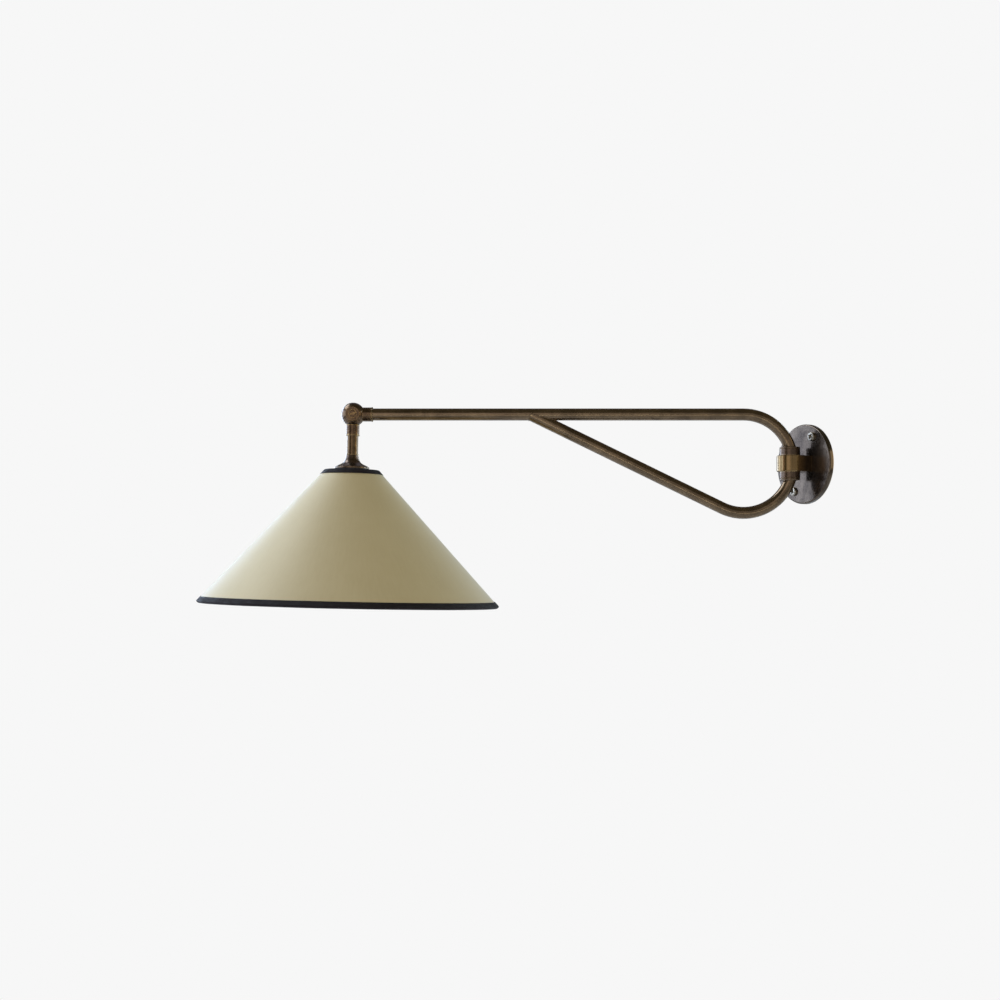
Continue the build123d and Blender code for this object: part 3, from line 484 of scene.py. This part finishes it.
def pearl_glass():
    """Clear lamp glass with a faint wash inside."""
    made, tree, shader = material("pearl_glass", Transmission_Weight=1.0, IOR=1.5)
    where = node(tree, "TexCoord")
    wash = node(tree, "TexNoise", [("Vector", where.outputs["Object"])], Scale=60.0, Detail=3.0)
    base = mix(tree, remap(tree, wash.outputs["Fac"], 0.3, 0.7), (0.96, 0.96, 0.95), (1.0, 1.0, 0.99))
    tree.links.new(base, shader.inputs["Base Color"])
    tree.links.new(remap(tree, wash.outputs["Fac"], 0.3, 0.7, 0.12, 0.2), shader.inputs["Roughness"])
    return made


steel = plated_steel()
brass = bright_brass()
black_plastic = moulded("black_plastic", (0.016, 0.016, 0.017), (0.03, 0.03, 0.032), 0.42)
white_paint = moulded("white_paint", (0.72, 0.71, 0.67), (0.82, 0.81, 0.77), 0.38)
steatite = moulded("steatite", (0.7, 0.67, 0.6), (0.8, 0.78, 0.72), 0.5)
fibre_board = moulded("fibre_board", (0.2, 0.07, 0.035), (0.28, 0.1, 0.05), 0.6)
sheath = moulded("sheath", (0.6, 0.57, 0.5), (0.7, 0.67, 0.6), 0.5)
paper = card_outside()
lining = card_inside()
tape = bound_tape()
glass = pearl_glass()

finishes = {
    tube_brass: ["arm_tube", "brace_tube"],
    lug_brass_painted_shade: ["hinge_lug"],
    turned_brass: ["arm_ring", "neck_ring", "stem_ring"],
    knuckle_brass: ["knuckle_arm_half", "knuckle_stem_half", "knuckle_screw"],
    collar_brass: ["upper_collar", "lower_collar", "pivot_pin", "thrust_washers", "gallery"],
    plate_brass: ["wall_plate"],
    stem_brass: ["stem_tube"],
    steel: ["wall_screws", "lug_nut", "collar_grub_screws", "knuckle_washer", "knuckle_nut",
            "stem_nut", "terminal_screws", "lamp_cap", "lamp_leads", "lamp_filament"],
    brass: ["earth_tag", "threaded_shell", "centre_contact", "lamp_tip"],
    white_paint: ["shade_spider", "bottom_ring"],
    black_plastic: ["holder_cap", "holder_body", "shade_ring_nut", "lamp_insulator"],
    steatite: ["holder_block"],
    fibre_board: ["friction_disc"],
    sheath: ["wall_flex", "arm_flex", "head_flex", "head_cores"],
    glass: ["lamp_glass", "lamp_mount"],
    paper: ["shade_cone"],
    tape: ["top_trim", "bottom_trim"],
}
for finish, names in finishes.items():
    for name in names:
        nodes[name].data.materials.clear()
        nodes[name].data.materials.append(finish)


# ---- shade card --------------------------------------------------------------------------------------------
lap_width = 0.011
lap_height = 0.00028
card_sway = 0.00018
card_inset = 0.0001


def shade_card():
    """The card cone, with a lapped seam on the far side.

    A point is given by its turn round the cone and its distance down the slope. The outside steps up at the
    lap's edge and tapers away over three laps. Both sides share a slow waviness that grows down the slope.
    """
    lap = lap_width / shade_radius
    seam = radians(-100)
    turn = np.unique(np.concatenate([
        np.linspace(0, 2 * pi, 480, endpoint=False),
        (seam + np.linspace(-0.12, 0.12, 49) * lap * 3) % (2 * pi),
        (seam + np.array([-1e-4, 1e-4])) % (2 * pi),
    ]))
    steps = 56
    along = np.concatenate([np.linspace(0, card_length, steps), np.linspace(card_length, 0, steps)])
    outer = np.concatenate([np.ones(steps), np.zeros(steps)])
    turns, alongs = np.meshgrid(turn, along, indexing="ij")
    past = (turns - seam + pi) % (2 * pi) - pi
    proud = np.where((past > 0) & (past < lap * 3), lap_height * (1 - past / (lap * 3)), 0.0)
    sway = card_sway * ripple(turns, (2, 3, 5, 7), 4) * (alongs / card_length)
    off = -card * (1 - outer)[None, :] + proud * outer[None, :] + sway - card_inset
    radius, height = on_slope(alongs, off)
    points = round_head(radius, height, turns)
    closed_turn = np.append(turn, 2 * pi)
    closed_along = np.append(along, along[0])
    middle_radius = 0.09
    uv = np.stack(np.meshgrid(closed_turn * middle_radius, closed_along, indexing="ij"), axis=-1)
    made = surface("shade_card", points, uv=uv)
    made.data.materials.append(paper)
    made.data.materials.append(lining)
    columns = len(along)
    side = (np.arange(len(made.data.polygons)) % columns >= steps - 1).astype(np.int32)
    made.data.polygons.foreach_set("material_index", side)
    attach(made, "head")
    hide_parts("shade_cone")


shade_card()


# ---- cloth bindings ----------------------------------------------------------------------------------------
tape_thickness = 0.0004
tape_gap = 0.00012
wire_gap = 0.0001
bottom_width, bottom_wire = 0.0061, 0.0008
top_width, top_wire = 0.0064, 0.00125


def binding(name, corners, soft, shift, count, seed, node_name):
    """Folded tape round a rim: an outline of slope distances carried round the head's axis.

    The outline swells and thins with a slow ripple and puckers with a quick one, and its free edge wanders.
    """
    outline, length = even_loop(round_corners(corners, soft), count)
    turn = np.linspace(0, 2 * pi, 900, endpoint=False)
    middle = outline.mean(axis=0)
    turns = np.repeat(turn[:, None], count, axis=1)
    share = np.linspace(0, 1, count, endpoint=False)[None, :]
    swell = shift * (0.6 * ripple(turns, (3, 5, 9, 14), seed)
                     + 0.4 * ripple(turns + 0.6 * share, (31, 47, 62, 83), seed + 1))
    away = outline - middle
    away /= np.linalg.norm(away, axis=1)[:, None]
    along = outline[None, :, 0] + swell * away[None, :, 0] * 0.6
    off = outline[None, :, 1] + swell * away[None, :, 1]
    radius, height = on_slope(along, off)
    points = round_head(radius, height, turns)
    rim = float(radius.mean())
    round_rim, round_outline = np.append(turn, 2 * pi) * rim, np.linspace(0, length, count + 1)
    uv = np.stack(np.meshgrid(round_rim, round_outline, indexing="ij"), axis=-1)
    made = surface(name, points, uv=uv)
    made.data.materials.append(tape)
    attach(made, "head")
    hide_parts(node_name)


def folded(edge, width, wire, direction):
    """Corners of a tape folded over a rim and round its wire: width outside, wrapped back inside."""
    inside = card + 2 * wire + wire_gap + tape_thickness
    reach = edge + direction * tape_thickness
    free = edge - direction * width
    back = edge - direction * (2 * wire + tape_thickness)
    return [
        (free, tape_gap), (free, tape_thickness), (reach, tape_thickness), (reach, -inside),
        (back, -inside), (back, -card - tape_gap), (edge, -card - tape_gap), (edge, tape_gap),
    ]


bottom_fold = folded(card_length, bottom_width, bottom_wire, 1)
top_fold = folded(0.0, top_width, top_wire, -1)
binding("bottom_binding", bottom_fold, 0.0011, 0.00016, 64, 21, "bottom_trim")
binding("top_binding", top_fold, 0.0012, 0.00022, 56, 33, "top_trim")


# ---- brazed joints -----------------------------------------------------------------------------------------
brace_solder = 0.0006
collar_solder = 0.0005
solder_lift = 0.0001


def brace_bead():
    """Bead where the brace meets the arm: each line of the brace ends on the arm's round underside."""
    turn = np.linspace(0, 2 * pi, 160, endpoint=False)
    reach = np.where(
        np.cos(turn) > 0,
        np.cos(turn) * (1 + cos(brace_slope)),
        -np.cos(turn) * (1 - cos(brace_slope)),
    ) * tube_radius / sin(brace_slope)
    foot = np.array([loop_centre + loop_radius * sin(brace_slope), -loop_radius * cos(brace_slope)])
    tip = foot[0] + (loop_radius - foot[1]) / tan(brace_slope)
    joint = hinge + arm_out * tip + up * loop_radius
    forward = arm_out * cos(brace_slope) + up * sin(brace_slope)
    above = up * cos(brace_slope) - arm_out * sin(brace_slope)
    path = (
        joint
        + tube_radius * (np.cos(turn)[:, None] * above + np.sin(turn)[:, None] * far_side)
        - reach[:, None] * forward
    )
    return bead("brace_bead", path, brace_solder)


def collar_bead(name, side):
    """Bead where a loop tube stands on its collar: the slanting cut of the tube by the collar's end face."""
    turn = np.linspace(0, 2 * pi, 96, endpoint=False)
    stretch = 1 / cos(np.arcsin(collar_end / loop_radius))
    path = (
        hinge
        + tube_radius * (stretch * np.cos(turn)[:, None] * arm_out + np.sin(turn)[:, None] * far_side)
        + side * (collar_end + solder_lift) * up
    )
    return bead(name, path, collar_solder)


for made in (brace_bead(), collar_bead("upper_bead", 1), collar_bead("lower_bead", -1)):
    made.data.materials.append(tube_brass)
    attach(made, "arm")


# ---- stage, camera and light -------------------------------------------------------------------------------
def stage_paper():
    """Plain pale paper, the same brightness wherever it is seen."""
    made, tree, shader = material("stage_paper", Roughness=0.9)
    shader.inputs["Base Color"].default_value = (0.86, 0.86, 0.855, 1)
    out = tree.nodes["Material Output"]
    path = node(tree, "LightPath")
    glow = node(tree, "Emission", Strength=1.0)
    glow.inputs["Color"].default_value = (0.93, 0.93, 0.93, 1)
    pick = tree.nodes.new("ShaderNodeMixShader")
    tree.links.new(path.outputs["Is Camera Ray"], pick.inputs[0])
    tree.links.new(shader.outputs[0], pick.inputs[1])
    tree.links.new(glow.outputs[0], pick.inputs[2])
    tree.links.new(pick.outputs[0], out.inputs["Surface"])
    return made


floor_height = -0.75
extent = np.array([-1.0, 1.0]) * 8
floor_x, floor_y = np.meshgrid(extent, -extent, indexing="ij")
floor = surface("floor", np.stack([floor_x, floor_y, np.full_like(floor_x, floor_height)], axis=-1)[::-1],
                wrap=(False, False))
floor.data.materials.append(stage_paper())

view = Vector((-cos(radians(30)), sin(radians(30)), 0.0))
right = Vector((0.5, cos(radians(30)), 0.0))
camera_along = 0.2898
camera_distance = 1.59
camera_drop = 0.1083
camera_data = bpy.data.cameras.new("camera")
camera = bpy.data.objects.new("camera", camera_data)
bpy.context.scene.collection.objects.link(camera)
camera_data.lens = 57.24
camera_data.sensor_width = 36.0
camera_data.shift_y = 0.072
camera.location = Vector(hinge + arm_out * camera_along - up * camera_drop) - view * camera_distance
camera.rotation_euler = view.to_track_quat("-Z", "Y").to_euler()
bpy.context.scene.camera = camera

arm_middle = Vector(hinge + arm_out * 0.25)
panel_distance = 2.4
panel_width = 0.75
panel_height = 1.5
panel_lift = 8


def softbox(name, turn, lift, width, height, glow):
    """A soft panel facing the arm's middle, turned from the camera to the right and lifted, in degrees."""
    brightness = max(glow)
    data = bpy.data.lights.new(name, "AREA")
    data.shape = "RECTANGLE"
    data.size = width
    data.size_y = height
    data.energy = brightness * pi * width * height
    data.color = [part / brightness for part in glow]
    made = bpy.data.objects.new(name, data)
    bpy.context.scene.collection.objects.link(made)
    level = -view * cos(radians(turn)) + right * sin(radians(turn))
    out = level * cos(radians(lift)) + Vector((0, 0, sin(radians(lift))))
    made.location = arm_middle + panel_distance * out
    made.rotation_euler = (arm_middle - made.location).to_track_quat("-Z", "Y").to_euler()
    made.visible_camera = False


ring = [
    ("far_left", (-148,), (4.0, 5.0, 6.6)),
    ("left_back", (-120,), (2.9, 3.5, 4.6)),
    ("left", (-99, -80), (1.65, 1.95, 2.5)),
    ("left_front", (-65,), (0.5, 0.4, 0.4)),
    ("front", (-25, -8), (0.7, 0.65, 0.65)),
    ("right_front", (10, 30, 50), (0.33, 0.32, 0.33)),
    ("right", (75,), (1.4, 1.2, 0.8)),
    ("right_back", (105, 140), (3.3, 4.0, 4.6)),
]
for label, turns, glow in ring:
    for turn in turns:
        softbox(f"{label}_{abs(turn)}", turn, panel_lift, panel_width, panel_height, glow)
softbox("low", 0, -22, 2.6, 0.7, (2.3, 2.3, 2.0))
softbox("high_left", -110, 45, 1.6, 1.0, (4.4, 4.9, 5.6))
softbox("high_back", 180, 45, 2.2, 1.2, (0.12, 0.12, 0.2))

world = bpy.data.worlds.new("room")
bpy.context.scene.world = world
world.use_nodes = True
sky = world.node_tree
backdrop = sky.nodes["Background"]
path = node(sky, "LightPath")
room = mix(sky, path.outputs["Is Camera Ray"], (0.11, 0.1, 0.06), (0.93, 0.93, 0.93))
sky.links.new(room, backdrop.inputs["Color"])
bpy.context.scene.view_settings.view_transform = "Standard"
